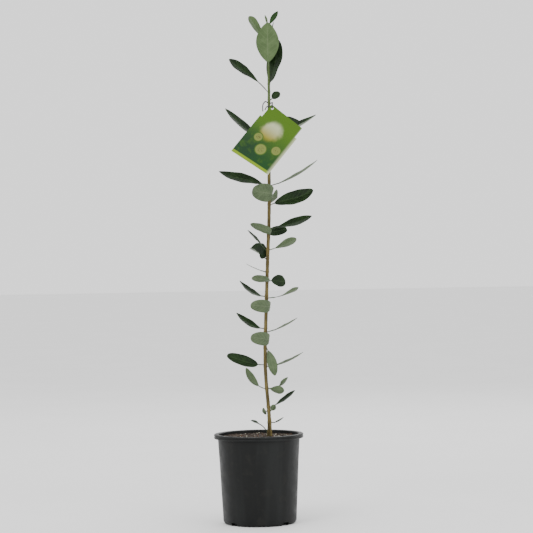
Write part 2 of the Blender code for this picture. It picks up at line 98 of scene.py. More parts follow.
# Hang tag
TAG_WIDTH = 77 * MM
TAG_BODY_HEIGHT = 79.5 * MM
TAG_HEADER_LEFT = 27 * MM
TAG_HEADER_RIGHT = 20.5 * MM
TAG_HEADER_INSET = 4 * MM
TAG_HOLE_RADIUS = 2.2 * MM
TAG_HOLE_EDGE = 5.5 * MM
TAG_HANG_POINT = Vector((32.0, -9.0, 694.5)) * MM
TAG_TURN = 35.0
TAG_LEAN_ACROSS = -0.30
TAG_LEAN_ALONG = 0.26

# Wire tie: it rings the trunk, drops to the tag's hole and leaves two loose ends
TIE_RADIUS = 0.7 * MM
TIE_HEIGHT = 705 * MM
TIE_SLACK = 0.45 * MM
TIE_LONG_END = (
    Vector((-10.6, -8.2, -15.0)) * MM,
    Vector((-10.8, -7.8, -9.0)) * MM,
    Vector((-10.0, -7.0, -3.0)) * MM,
    Vector((-6.4, -5.0, 1.8)) * MM,
)
TIE_SHORT_END = (
    Vector((2.4, -6.6, -8.0)) * MM,
    Vector((-2.4, -6.2, -6.4)) * MM,
    Vector((-5.2, -6.8, -8.8)) * MM,
    Vector((-7.1, -7.4, -12.6)) * MM,
)

# A leaf's place and shape, in millimetres and degrees. height is where its stalk
# meets the trunk; right, back and up reach from the trunk's centre line there to the
# leaf's tip. turn swings the stalk's root round the trunk from the tip's bearing.
# roll turns the blade about its midrib, and twist adds to that by the tip. fold lifts
# each half of the blade from flat, rise1 and rise2 bow the midrib up from the straight
# line a third and two thirds along, and sway bows it sideways. widest is how far along
# the blade its greatest width lies, and blunt is small for round ends, near 1 for
# pointed ones.
Leaf = namedtuple(
    "Leaf",
    "name height right back up width stalk turn roll twist fold rise1 rise2 sway widest blunt",
)


def leaf(name, height, right, back, up, width, stalk=6, turn=0, roll=0, twist=0, fold=14,
         rise1=0, rise2=0, sway=0, widest=0.5, blunt=0.75):
    return Leaf(name, height, right, back, up, width, stalk, turn, roll, twist, fold,
                rise1, rise2, sway, widest, blunt)


LEAVES = (
    leaf("leaf_01_left", 153, -31, -14, 20, 12, stalk=15, roll=-25, rise1=9, rise2=1),
    leaf("leaf_01_right", 168, 24, 6, 8, 8, stalk=4, roll=8, rise1=-4, rise2=-4),
    leaf("leaf_02_left", 187, -11, 10, -2, 13, stalk=3, roll=70, blunt=0.6),
    leaf("leaf_02_front", 187, 11, -9, 11, 10, stalk=2, roll=-70, blunt=0.7),
    leaf("leaf_02_right", 194, 45, 5, 27, 14, stalk=10, roll=24, rise1=-4, rise2=-4,
         widest=0.55, blunt=0.6),
    leaf("leaf_03_left", 225, -34, -14, 36, 13, stalk=15, roll=55, rise1=-9, rise2=-14,
         widest=0.6, blunt=0.6),
    leaf("leaf_03_front", 225, 29, -12, -2, 15, stalk=3, roll=-75, rise1=-1, rise2=-2,
         widest=0.6, blunt=0.5),
    leaf("leaf_03_right", 225, 36, 10, 18, 12, stalk=21, roll=-50, rise1=-6, rise2=-9),
    leaf("leaf_04_left", 265, -64, -6, 17, 21, stalk=10, roll=-60, rise1=-5, rise2=-2,
         blunt=0.42),
    leaf("leaf_04_right", 262, 64, 4, 23, 17, stalk=10, roll=-16, rise1=-6, rise2=-8),
    leaf("leaf_05_front", 293, 16, -12, -46, 17, stalk=6, roll=-119, rise1=7, rise2=5,
         widest=0.6, blunt=0.6),
    leaf("leaf_06_front", 305, -24, -32, 7, 23, stalk=2, turn=112, roll=80, fold=5,
         rise1=-1, rise2=2, blunt=0.5),
    leaf("leaf_06_back", 306, -2, 34, 6, 15, stalk=5, fold=18),
    leaf("leaf_07_left", 326, -49, 4, 27, 17, stalk=6, roll=-36, rise1=-8, rise2=-7),
    leaf("leaf_07_right", 320, 54, 4, 23, 14, stalk=13, roll=-14, rise1=-3, rise2=-6),
    leaf("leaf_08_front", 361, -26, -32, 5, 22, stalk=2, turn=112, roll=80, fold=5,
         rise1=-1, rise2=1, blunt=0.5),
    leaf("leaf_08_back", 362, -2, 33, 6, 15, stalk=5, fold=18),
    leaf("leaf_09_left", 380, -45, 3, 27, 18, stalk=6, roll=-25, rise1=-8, rise2=-10),
    leaf("leaf_09_right", 377, 54, -3, 17, 17, stalk=8, roll=5, twist=-40, rise1=-4,
         rise2=-7, widest=0.75),
    leaf("leaf_10_front", 405, -25, -26, 7, 15, stalk=2, turn=85, roll=50, fold=6,
         widest=0.65, blunt=0.6),
    leaf("leaf_10_back", 406, 31, 22, -2, 22, stalk=6, roll=75, rise1=1, widest=0.55,
         blunt=0.5),
    leaf("leaf_11_left", 421, -35, 0, 14, 14, stalk=6, rise1=-1, rise2=-2, fold=4),
    leaf("leaf_12_left", 443, -29, 12, 17, 38, stalk=2, roll=-28, fold=50, rise1=3,
         rise2=1, blunt=0.42),
    leaf("leaf_13_left", 458, -34, 5, 34, 13, stalk=10, roll=-14, rise1=1, rise2=-1),
    leaf("leaf_13_right", 458, 48, -8, 18, 17, stalk=7, roll=-50, rise1=-2, rise2=-2,
         widest=0.68, blunt=0.6),
    leaf("leaf_14_front", 484, -30, -18, 18, 17, stalk=2, turn=85, roll=45, fold=6,
         blunt=0.6),
    leaf("leaf_14_back", 485, 31, 28, 8, 18, stalk=3, turn=40, roll=65, blunt=0.45),
    leaf("leaf_15_right", 494, 73, 8, 20, 24, stalk=7, roll=35, rise1=-3, rise2=-5,
         widest=0.6),
    leaf("leaf_16_right", 534, 74, 2, 24, 27, stalk=6, roll=60, rise1=1, rise2=-9,
         widest=0.55, blunt=0.52),
    leaf("leaf_17_front", 549, -28, -30, 8, 31, stalk=2, turn=100, roll=78, fold=5,
         blunt=0.5),
    leaf("leaf_17_right", 548, 14, 15, -2, 27, stalk=3, roll=-60, blunt=0.8),
    leaf("leaf_17_back", 546, -12, 48, 16, 26, stalk=6, roll=-8),
    leaf("leaf_18_left", 566, -84, -6, 25, 24, stalk=9, roll=-45, rise1=4, rise2=-7),
    leaf("leaf_18_right", 566, 82, 4, 42, 20, stalk=14, roll=-11, rise1=-7, rise2=-11),
    leaf("leaf_19_back", 604, 4, 58, 30, 28, stalk=6, roll=10, rise1=4, rise2=3),
    leaf("leaf_20_left", 641, -73, 4, 56, 24, stalk=8, roll=-32, rise1=-9, rise2=-10,
         widest=0.6),
    leaf("leaf_20_right", 641, 80, 4, 43, 28, stalk=8, roll=16, fold=30, rise1=-3,
         rise2=-6),
    leaf("leaf_21_right", 668, 54, 48, 7, 26, stalk=6, roll=60, blunt=0.6),
    leaf("leaf_21_left", 668, -18, 36, 8, 22, stalk=6, roll=-20),
    leaf("leaf_22_right", 710, 18, 6, 13, 14, stalk=4, roll=60, blunt=0.5),
    leaf("leaf_23_left", 724, -66, 2, 56, 24, stalk=18, roll=-42, rise1=9, rise2=-4,
         widest=0.66, blunt=0.6),
    leaf("leaf_23_right", 737, 16, 24, 78, 31, stalk=4, sway=5, widest=0.38, blunt=0.62),
    leaf("leaf_24_front", 768, 0, -18, 70, 39, stalk=5, fold=8, sway=1.5, widest=0.5,
         blunt=0.7),
    leaf("leaf_24_back", 768, 0, 22, 52, 30, stalk=5),
    leaf("leaf_25_left", 800, -32, -4, 50, 18, stalk=10, roll=40, rise1=2, rise2=3,
         widest=0.68, blunt=0.5),
    leaf("leaf_25_right", 800, 10, 6, 42, 16, stalk=5, roll=-20),
    leaf("leaf_26_right", 835, 17, 2, 24, 10, stalk=3, roll=60, sway=1.5),
    leaf("leaf_26_left", 836, -5, -4, 16, 6, stalk=2),
)

# Finer leaves: rings and segments of a blade, and its thickness, ribs and waves
BLADE_SEGMENTS = 12
BLADE_RINGS = 26
BLADE_TIP_GAP = 0.35
BLADE_THICK = 0.55 * MM
BLADE_BASE_THICK = 1.6 * STALK_RADIUS
BLADE_LEAST_HALF = 0.4 * STALK_RADIUS
BLADE_BLEND = 0.10
BLADE_RIM_THINNING = 0.55
FOLD_OPENING = 4
RIB_HEIGHT = 0.55 * MM
RIB_WIDTH = 0.10
RIPPLE_HEIGHT = 0.035
RIPPLE_WAVES = (2.0, 3.2)
RIPPLE_TURN = 6.28
COURSE_STEP = 0.01
STALK_STOPS = (0.0, 0.3, 0.6, 0.92)
YOUNG_FROM = 760

# Bark: relief as shares of the trunk's radius, and the swelling where leaves stand
BARK_SIDES = 20
BARK_RINGS = 420
BARK_INSET = 0.05
RIDGE_DEPTH = 0.10
RIDGE_SPREAD = 2.2
RIDGE_RATE = 160
FINE_RIDGE_DEPTH = 0.05
FINE_RIDGE_RATE = 3
NODE_SWELL = 0.42 * MM
NODE_REACH = 1.6 * MM

# Finer pot
POT_TURNS = 144
POT_FOOT_STEPS = 8
WAIST_STEP = 0.1 * MM
WAIST_REACH = 3 * MM
LIP_RIDGE = 1.9 * MM
LOW_RIDGE_STEPS = 6
TOP_RIDGE_STEPS = 7
RIM_BEVEL = 1.2 * MM
RIM_DROP = 0.2 * MM
DRAIN_FIRST = 45

# Finer potting mix: relief as height and rate, and the chips on it
MIX_RINGS = 44
MIX_SIDES = 120
MIX_DROP = 0.6 * MM
MIX_FOOT_SHARE = 0.8
MIX_WAVES = (1.4 * MM, 90)
MIX_GRAINS = (0.9 * MM, 260)
CHIP_SEED = 11
CHIP_COUNT = 620
CHIP_RIM_GAP = 4 * MM
CHIP_LENGTHS = (1.6, 6.0)
CHIP_WIDTHS = (0.35, 0.7)
CHIP_DEPTHS = (0.15, 0.35)
CHIP_KINDS = (0, 1, 2)
CHIP_KIND_SHARES = (0.84, 0.10, 0.06)
SMALL_CHIP = (0.5, 0.4, 0.3)
CHIP_TURN = 3.14
CHIP_LEAN = 0.5
CHIP_JAG = 0.35
CHIP_JAG_RATE = 3
CHIP_JAG_SPREAD = 900
CHIP_LIFT = 0.2

# Finer card and wire
CARD_THICK = 0.6 * MM
HOLE_SIDES = 24
WIRE_SIDES = 14
WIRE_STEPS = 10
WIRE_RADIUS = 1.25 * TIE_RADIUS

# Leaf colours, as linear red, green and blue: between the veins, and along them. The vein colour
# also paints a highlight along the upper face's rim
Shades = namedtuple("Shades", "dark light vein")
OLD_TOP = Shades((0.0028, 0.0105, 0.0013), (0.0080, 0.0255, 0.0034), (0.028, 0.052, 0.018))
OLD_UNDER = Shades((0.046, 0.072, 0.030), (0.076, 0.110, 0.050), (0.112, 0.150, 0.078))
YOUNG_TOP = Shades((0.0030, 0.0210, 0.0008), (0.0085, 0.0450, 0.0016), (0.035, 0.080, 0.016))
YOUNG_UNDER = Shades((0.052, 0.090, 0.028), (0.074, 0.120, 0.042), (0.112, 0.158, 0.070))
OLD_TOP_ROUGHNESS = 0.48
YOUNG_TOP_ROUGHNESS = 0.45

# Veins, in shares of the half blade's width; pairs of side veins along a blade
VEIN_PAIRS = 8.0
VEIN_SWEEP = 1.7
VEIN_EDGES = (0.03, 0.16)
VEIN_FADE = (0.75, 0.98)
MIDRIB_EDGES = (0.02, 0.10)
# Painted highlight along the upper face's rim, in shares of the half blade's width
PAINTED_RIM_HIGHLIGHT_EDGES = (0.93, 1.0)
PATCH_EDGES = (0.35, 0.68)

# Other colours, as linear red, green and blue
WOOD_SHADES = ((0.034, 0.024, 0.005), (0.135, 0.102, 0.028))
FRESH_SHADES = ((0.030, 0.052, 0.012), (0.075, 0.110, 0.032))
BARK_FLECK = (0.30, 0.26, 0.16)
FRESH_FROM = (0.62, 0.80)
POT_DARK = (0.0032, 0.0038, 0.0036)
POT_LIGHT = (0.0080, 0.0090, 0.0088)
POT_SCUFF = (0.040, 0.042, 0.040)
POT_DUST = (0.020, 0.019, 0.016)
MIX_SHADES = ((0.012, 0.008, 0.006), (0.060, 0.038, 0.022))
PALE_CHIP_SHADES = ((0.30, 0.31, 0.24), (0.55, 0.56, 0.46))
RED_CHIP_SHADES = ((0.10, 0.035, 0.015), (0.22, 0.09, 0.04))
CARD_BACK_SHADES = ((0.60, 0.62, 0.55), (0.70, 0.71, 0.66))
TIE_SHADES = ((0.006, 0.006, 0.008), (0.030, 0.030, 0.034))
FLOOR_SHADES = ((0.86, 0.86, 0.86), (0.88, 0.88, 0.88))

# The card's print: colours, and places from its lower left corner
PRINT_DARK = (0.0015, 0.040, 0.0020)
PRINT_DEEP = (0.0008, 0.022, 0.0060)
PRINT_BRIGHT = (0.052, 0.120, 0.0006)
PRINT_GOLD = (0.26, 0.21, 0.012)
PRINT_CREAM = (0.46, 0.48, 0.30)
PRINT_RIND = (0.03, 0.08, 0.003)
PRINT_FLESH = (0.15, 0.18, 0.035)
PRINT_SEED = (0.05, 0.035, 0.008)
PRINT_STRIPE = (0.16, 0.25, 0.003)
GROUND_SPAN = (10 * MM, 85 * MM)
DEEP_CENTRE = (12 * MM, 24 * MM)
DEEP_RADIUS = 26 * MM
DEEP_SOFT = 22 * MM
GLOW_CENTRE = (46 * MM, 66 * MM)
GLOW_RADIUS = 17 * MM
GLOW_SOFT = 6 * MM
GLOW_WOBBLE = 22 * MM
CREAM_SPAN = (48 * MM, 80 * MM)
STRIPE_SPAN = (5.0 * MM, 5.6 * MM)
FADE_WIDTH = 7 * MM
FLESH_SHARE = 0.84
HEART_SHARE = 0.42
FRUIT_SLICES = (
    ((22 * MM, 46 * MM), 8.5 * MM),
    ((39 * MM, 30 * MM), 11.0 * MM),
    ((62 * MM, 42 * MM), 9.0 * MM),
)

# Studio: camera in metres, degrees and millimetres of lens; lamps with place, size, watts
CAMERA_HEIGHT = 0.430
CAMERA_DISTANCE = 3.1
CAMERA_RIGHT = 0.0178
CAMERA_ROLL = 0.95
CAMERA_LENS = 124.6
CAMERA_SENSOR = 36.0
CAMERA_REACH = 100.0
FLOOR_REACH = 30
WORLD_LIGHT = 1.45
LAMP_TARGET = Vector((0, 0, 0.45))
LAMPS = (
    ("key_light", (-1.6, -2.2, 2.4), 1.4, 40.0),
    ("fill_light", (2.0, -1.8, 1.2), 1.6, 14.0),
    ("back_light", (0.6, 2.2, 2.0), 1.4, 20.0),
)


def arc(centre, radius, start, end, steps):
    """Points on an arc in the (radius, height) plane; angles in degrees from outward."""
    points = []
    for i in range(steps + 1):
        angle = math.radians(start + (end - start) * i / steps)
        points.append((centre[0] + radius * math.cos(angle), centre[1] + radius * math.sin(angle)))
    return points


def inner_radius(height):
    """Radius of the pot's inner wall at a height above the floor."""
    if height < POT_WAIST_HEIGHT:
        share = (height - POT_FOOT_ROUND) / (POT_WAIST_HEIGHT - POT_FOOT_ROUND)
        outer = POT_FOOT_RADIUS + (POT_WAIST_RADIUS - POT_FOOT_RADIUS) * max(share, 0.0)
    else:
        share = (height - POT_WAIST_HEIGHT) / (POT_HEIGHT - LIP_HEIGHT - POT_WAIST_HEIGHT)
        outer = POT_WAIST_RADIUS + (POT_NECK_RADIUS - POT_WAIST_RADIUS) * min(share, 1.0)
    return outer - POT_WALL


def trunk_centre(height):
    """Centre line of the trunk, a smooth curve through TRUNK_COURSE."""
    rows = [Vector((x, y, z)) * MM for z, x, y in TRUNK_COURSE]
    height = min(max(height, rows[0].z), rows[-1].z)
    index = max(i for i in range(len(rows) - 1) if rows[i].z <= height)
    p1, p2 = rows[index], rows[index + 1]
    p0 = rows[index - 1] if index else p1 - (p2 - p1)
    p3 = rows[index + 2] if index + 2 < len(rows) else p2 + (p2 - p1)
    t = (height - p1.z) / (p2.z - p1.z)
    slope1 = (p2 - p0) * ((p2.z - p1.z) / (p2.z - p0.z))
    slope2 = (p3 - p1) * ((p2.z - p1.z) / (p3.z - p1.z))
    point = (
        p1 * (2 * t ** 3 - 3 * t ** 2 + 1)
        + slope1 * (t ** 3 - 2 * t ** 2 + t)
        + p2 * (3 * t ** 2 - 2 * t ** 3)
        + slope2 * (t ** 3 - t ** 2)
    )
    return Vector((point.x, point.y, height))


def trunk_radius(height):
    foot = TRUNK_COURSE[0][0] * MM
    tip = TRUNK_COURSE[-1][0] * MM
    share = min(max((height - foot) / (tip - foot), 0.0), 1.0)
    taper = (1 - share ** TRUNK_TAPER_POWER) ** TRUNK_TAPER_ROOT
    flare = FLARE_RADIUS * math.exp(-(height - foot) / FLARE_REACH)
    return max(TRUNK_RADIUS * taper, TRUNK_TIP_RADIUS) + flare


def trunk_reach(height, angle):
    """Distance of the trunk's surface from its centre line, root lobes included."""
    fade = math.exp(-(height - TRUNK_COURSE[0][0] * MM) / FLARE_REACH)
    lobes = 1 + FLARE_LOBE_DEPTH * fade * math.cos(FLARE_LOBES * angle + 0.6)
    return trunk_radius(height) * lobes


def bezier(p0, p1, p2, p3, t):
    s = 1 - t
    return p0 * s ** 3 + p1 * 3 * s * s * t + p2 * 3 * s * t * t + p3 * t ** 3


def leaf_course(spec):
    """Root, the two middle control points and tip of a leaf's midrib."""
    axis = trunk_centre(spec.height * MM)
    tip = axis + Vector((spec.right, spec.back, spec.up)) * MM
    bearing = math.atan2(spec.back, spec.right) + math.radians(spec.turn)
    outward = Vector((math.cos(bearing), math.sin(bearing), 0))
    root = axis + outward * (trunk_reach(spec.height * MM, bearing) + CLEAR)
    chord = tip - root
    level = Vector((chord.x, chord.y, 0))
    bow = level.normalized().cross(Vector((0, 0, 1))) * spec.sway * MM
    first = root + outward * level.length / 3 + bow
    first.z += chord.z / 3 + spec.rise1 * MM
    second = root + chord * 2 / 3 + bow
    second.z += spec.rise2 * MM
    return root, first, second, tip, outward


def blade_half_width(spec, share):
    """Half the blade's width at a share of the way from its base to its tip."""
    power = math.log(0.5) / math.log(spec.widest)
    return 0.5 * spec.width * MM * math.sin(math.pi * share ** power) ** spec.blunt


def tag_frame():
    """The hang tag's own directions: across its width, up its height, out of its face."""
    turn = math.radians(TAG_TURN)
    across_flat = math.sqrt(1 - TAG_LEAN_ACROSS ** 2)
    across = Vector((
        across_flat * math.cos(turn), TAG_LEAN_ACROSS, -across_flat * math.sin(turn)
    ))
    rough_up = Vector((math.sin(turn), TAG_LEAN_ALONG, math.cos(turn)))
    up = (rough_up - across * rough_up.dot(across)).normalized()
    return across, up, across.cross(up)


def tag_outline():
    """Corners of the card, counter-clockwise, with its narrower header strip."""
    left = TAG_HEADER_INSET
    right = TAG_WIDTH - TAG_HEADER_INSET
    return [
        (0.0, 0.0),
        (TAG_WIDTH, 0.0),
        (TAG_WIDTH, TAG_BODY_HEIGHT),
        (right, TAG_BODY_HEIGHT),
        (right, TAG_BODY_HEIGHT + TAG_HEADER_RIGHT),
        (left, TAG_BODY_HEIGHT + TAG_HEADER_LEFT),
        (left, TAG_BODY_HEIGHT),
        (0.0, TAG_BODY_HEIGHT),
    ]


def tie_course():
    """Points the wire passes through, from its long loose end to its short one."""
    centre = trunk_centre(TIE_HEIGHT)
    across, up, face = tag_frame()
    rise = (Vector((0, 0, 1)) - face * face.z).normalized()
    ring = trunk_radius(TIE_HEIGHT) + TIE_RADIUS + TIE_SLACK
    points = [centre + offset for offset in TIE_LONG_END]
    for degrees in (190, 145, 100, 55, 10, -30):
        angle = math.radians(degrees)
        spoke = Vector((ring * math.cos(angle), ring * math.sin(angle), 0))
        points.append(centre + spoke + Vector((0, 0, (degrees - 60) * 0.01 * MM)))
    bend = TAG_HOLE_RADIUS - TIE_RADIUS - TIE_SLACK
    through = TAG_HANG_POINT + rise * bend
    points += [
        through + face * 2.2 * MM + rise * 9.0 * MM,
        through + face * 2.2 * MM + rise * 5.0 * MM,
        through + face * 2.0 * MM + rise * 2.0 * MM,
        through + face * 1.2 * MM + rise * 0.3 * MM,
        through - face * 1.2 * MM + rise * 0.3 * MM,
    ]
    return points + [centre + offset for offset in TIE_SHORT_END]


def smooth_course(points, steps):
    """Catmull-Rom curve through the points."""
    course = []
    padded = [2 * points[0] - points[1]] + list(points) + [2 * points[-1] - points[-2]]
    for p0, p1, p2, p3 in zip(padded, padded[1:], padded[2:], padded[3:]):
        for i in range(steps):
            t = i / steps
            course.append(0.5 * (
                2 * p1 + (p2 - p0) * t
                + (2 * p0 - 5 * p1 + 4 * p2 - p3) * t * t
                + (3 * p1 - p0 - 3 * p2 + p3) * t ** 3
            ))
    return course + [points[-1]]


class Finish:
    """A material's node tree, with short calls for the nodes that it uses."""

    def __init__(self, name):
        self.material = bpy.data.materials.new(name)
        self.material.use_nodes = True
        self.tree = self.material.node_tree
        self.shader = self.tree.nodes["Principled BSDF"]

    def put(self, socket, value):
        """Links the value to the socket if it is an output, and sets it there if not."""
        if isinstance(value, bpy.types.NodeSocket):
            self.tree.links.new(value, socket)
        elif isinstance(value, tuple) and socket.type == 'RGBA':
            socket.default_value = (*value, 1.0)
        else:
            socket.default_value = value

    def coords(self):
        return self.tree.nodes.new("ShaderNodeTexCoord").outputs["Object"]

    def uv(self, layer):
        node = self.tree.nodes.new("ShaderNodeUVMap")
        node.uv_map = layer
        return self.split(node.outputs["UV"])

    def split(self, vector):
        node = self.tree.nodes.new("ShaderNodeSeparateXYZ")
        self.put(node.inputs[0], vector)
        return node.outputs

    def math(self, operation, first, second=0.0, third=0.0):
        node = self.tree.nodes.new("ShaderNodeMath")
        node.operation = operation
        for socket, value in zip(node.inputs, (first, second, third)):
            self.put(socket, value)
        return node.outputs[0]

    def ramp(self, value, low, high, out_low=0.0, out_high=1.0):
        """A smooth step from out_low, where value is low, to out_high, where it is high."""
        node = self.tree.nodes.new("ShaderNodeMapRange")
        node.interpolation_type = 'SMOOTHSTEP'
        for socket, item in zip(node.inputs, (value, low, high, out_low, out_high)):
            self.put(socket, item)
        return node.outputs[0]

    def stretch(self, vector, scale):
        node = self.tree.nodes.new("ShaderNodeMapping")
        self.put(node.inputs["Vector"], vector)
        node.inputs["Scale"].default_value = scale
        return node.outputs[0]

    def noise(self, scale, detail=4.0, roughness=0.55, vector=None):
        node = self.tree.nodes.new("ShaderNodeTexNoise")
        self.put(node.inputs["Vector"], vector if vector else self.coords())
        node.inputs["Scale"].default_value = scale
        node.inputs["Detail"].default_value = detail
        node.inputs["Roughness"].default_value = roughness
        return node.outputs[0]

    def mix(self, share, first, second):
        """The first colour with a share of the second one."""
        node = self.tree.nodes.new("ShaderNodeMix")
        node.data_type = 'RGBA'
        self.put(node.inputs["Factor"], share)
        colours = [socket for socket in node.inputs if socket.type == 'RGBA']
        for socket, value in zip(colours, (first, second)):
            self.put(socket, value)
        return [socket for socket in node.outputs if socket.type == 'RGBA'][0]

    def bump(self, height, strength, distance):
        node = self.tree.nodes.new("ShaderNodeBump")
        node.inputs["Strength"].default_value = strength
        node.inputs["Distance"].default_value = distance
        self.put(node.inputs["Height"], height)
        self.put(self.shader.inputs["Normal"], node.outputs[0])

    def done(self, colour, roughness, specular):
        self.put(self.shader.inputs["Base Color"], colour)
        self.put(self.shader.inputs["Roughness"], roughness)
        self.shader.inputs["Specular IOR Level"].default_value = specular
        return self.material


def vein_masks(finish):
    """Masks from the leaf's own map: midrib, side veins and distance from the midrib."""
    along = finish.uv("blade")
    across = finish.math('ABSOLUTE', finish.math('SUBTRACT', along[0], 0.5))
    across = finish.math('MULTIPLY', across, 2.0)
    midrib = finish.ramp(across, *MIDRIB_EDGES, 1.0, 0.0)
    count = finish.math('MULTIPLY', along[1], VEIN_PAIRS)
    sweep = finish.math('MULTIPLY_ADD', across, -VEIN_SWEEP, count)
    wave = finish.math('ABSOLUTE', finish.math('SUBTRACT', finish.math('FRACT', sweep), 0.5))
    side = finish.ramp(wave, *VEIN_EDGES, 1.0, 0.0)
    side = finish.math('MULTIPLY', side, finish.ramp(across, *VEIN_FADE, 1.0, 0.0))
    return midrib, side, across


def leaf_upper(name, shades, roughness):
    """The leathery upper face: dark, with sunk veins and a thin painted highlight along its rim.
    """
    finish = Finish(name)
    midrib, side, across = vein_masks(finish)
    patches = finish.ramp(finish.noise(70.0), *PATCH_EDGES)
    colour = finish.mix(patches, shades.dark, shades.light)
    colour = finish.mix(finish.math('MULTIPLY', side, 0.32), colour, shades.vein)
    colour = finish.mix(finish.math('MULTIPLY', midrib, 0.6), colour, shades.vein)
    # Thin pale rim: a painted highlight along the blade's edge, in the vein colour
    colour = finish.mix(finish.ramp(across, *PAINTED_RIM_HIGHLIGHT_EDGES, 0.0, 0.35), colour, shades.vein)
    grain = finish.noise(900.0, 3.0)
    height = finish.math('MULTIPLY_ADD', side, -0.5, finish.math('MULTIPLY', grain, 0.35))
    height = finish.math('MULTIPLY_ADD', midrib, -1.0, height)
    finish.bump(height, 0.25, 0.5 * MM)
    gloss = finish.math('MULTIPLY_ADD', finish.noise(160.0), 0.16, roughness - 0.08)
    return finish.done(colour, gloss, 0.16)


def leaf_lower(name, shades):
    """The felted underside: pale and matt, with raised veins."""
    finish = Finish(name)
    midrib, side, _ = vein_masks(finish)
    patches = finish.ramp(finish.noise(90.0), *PATCH_EDGES)
    colour = finish.mix(patches, shades.dark, shades.light)
    felt = finish.noise(1500.0, 2.0)
    for mask, strength in ((felt, 0.22), (side, 0.30), (midrib, 0.55)):
        colour = finish.mix(finish.math('MULTIPLY', mask, strength), colour, shades.vein)
    height = finish.math('MULTIPLY_ADD', side, 0.5, finish.math('MULTIPLY', felt, 0.4))
    height = finish.math('MULTIPLY_ADD', midrib, 1.2, height)
    finish.bump(height, 0.5, 0.6 * MM)
    finish.shader.inputs["Sheen Weight"].default_value = 0.25
    return finish.done(colour, 0.8, 0.25)


def bark_finish():
    """Upright streaks, brown below and green on the fresh wood above."""
    finish = Finish("bark")
    place = finish.coords()
    height = finish.split(place)[2]
    streaks = finish.noise(260.0, 6.0, 0.6, finish.stretch(place, (1.0, 1.0, 0.12)))
    flecks = finish.noise(1400.0, 3.0, 0.6, finish.stretch(place, (1.0, 1.0, 0.45)))
    streak_mask = finish.ramp(streaks, 0.35, 0.65)
    wood = finish.mix(streak_mask, *WOOD_SHADES)
    fresh = finish.mix(streak_mask, *FRESH_SHADES)
    blotch = finish.math('MULTIPLY_ADD', finish.noise(45.0), 0.16, height)
    colour = finish.mix(finish.ramp(blotch, *FRESH_FROM), wood, fresh)
    colour = finish.mix(finish.ramp(flecks, 0.60, 0.74, 0.0, 0.45), colour, BARK_FLECK)
    rise = finish.math('MULTIPLY_ADD', flecks, 0.5, streaks)
    finish.bump(rise, 0.7, 0.8 * MM)
    return finish.done(colour, finish.ramp(streaks, 0.3, 0.7, 0.85, 0.65), 0.3)


def pot_finish():
    """Satin black plastic with faint upright runs, scuffs and dust."""
    finish = Finish("pot_plastic")
    place = finish.coords()
    runs = finish.noise(38.0, 3.0, 0.5, finish.stretch(place, (1.0, 1.0, 0.06)))
    cloud = finish.noise(55.0, 4.0)
    scuff = finish.noise(420.0, 5.0, 0.7, finish.stretch(place, (1.0, 1.0, 0.35)))
    colour = finish.mix(finish.ramp(runs, 0.42, 0.66), POT_DARK, POT_LIGHT)
    colour = finish.mix(finish.ramp(scuff, 0.66, 0.78, 0.0, 0.35), colour, POT_SCUFF)
    dust = finish.math('MULTIPLY', finish.ramp(cloud, 0.52, 0.72), 0.30)
    colour = finish.mix(dust, colour, POT_DUST)
    rise = finish.math('MULTIPLY_ADD', scuff, 0.5, finish.noise(900.0, 2.0))
    finish.bump(rise, 0.25, 0.4 * MM)
    return finish.done(colour, finish.ramp(cloud, 0.3, 0.7, 0.40, 0.55), 0.2)


def grain_finish(name, shades, scale, roughness=0.9):
    """A grainy surface between two shades."""
    finish = Finish(name)
    grain = finish.noise(scale, 6.0, 0.65)
    colour = finish.mix(finish.ramp(grain, 0.36, 0.66), *shades)
    finish.bump(finish.noise(scale * 3, 4.0), 0.8, 0.8 * MM)
    return finish.done(colour, roughness, 0.3)


def disc_mask(finish, x, y, centre, radius, soft):
    """1 inside a circle on the card, 0 outside, with a soft edge."""
    dx = finish.math('SUBTRACT', x, centre[0])
    dy = finish.math('SUBTRACT', y, centre[1])
    span = finish.math('ADD', finish.math('MULTIPLY', dx, dx), finish.math('MULTIPLY', dy, dy))
    return finish.ramp(finish.math('SQRT', span), radius - soft, radius + soft, 1.0, 0.0)


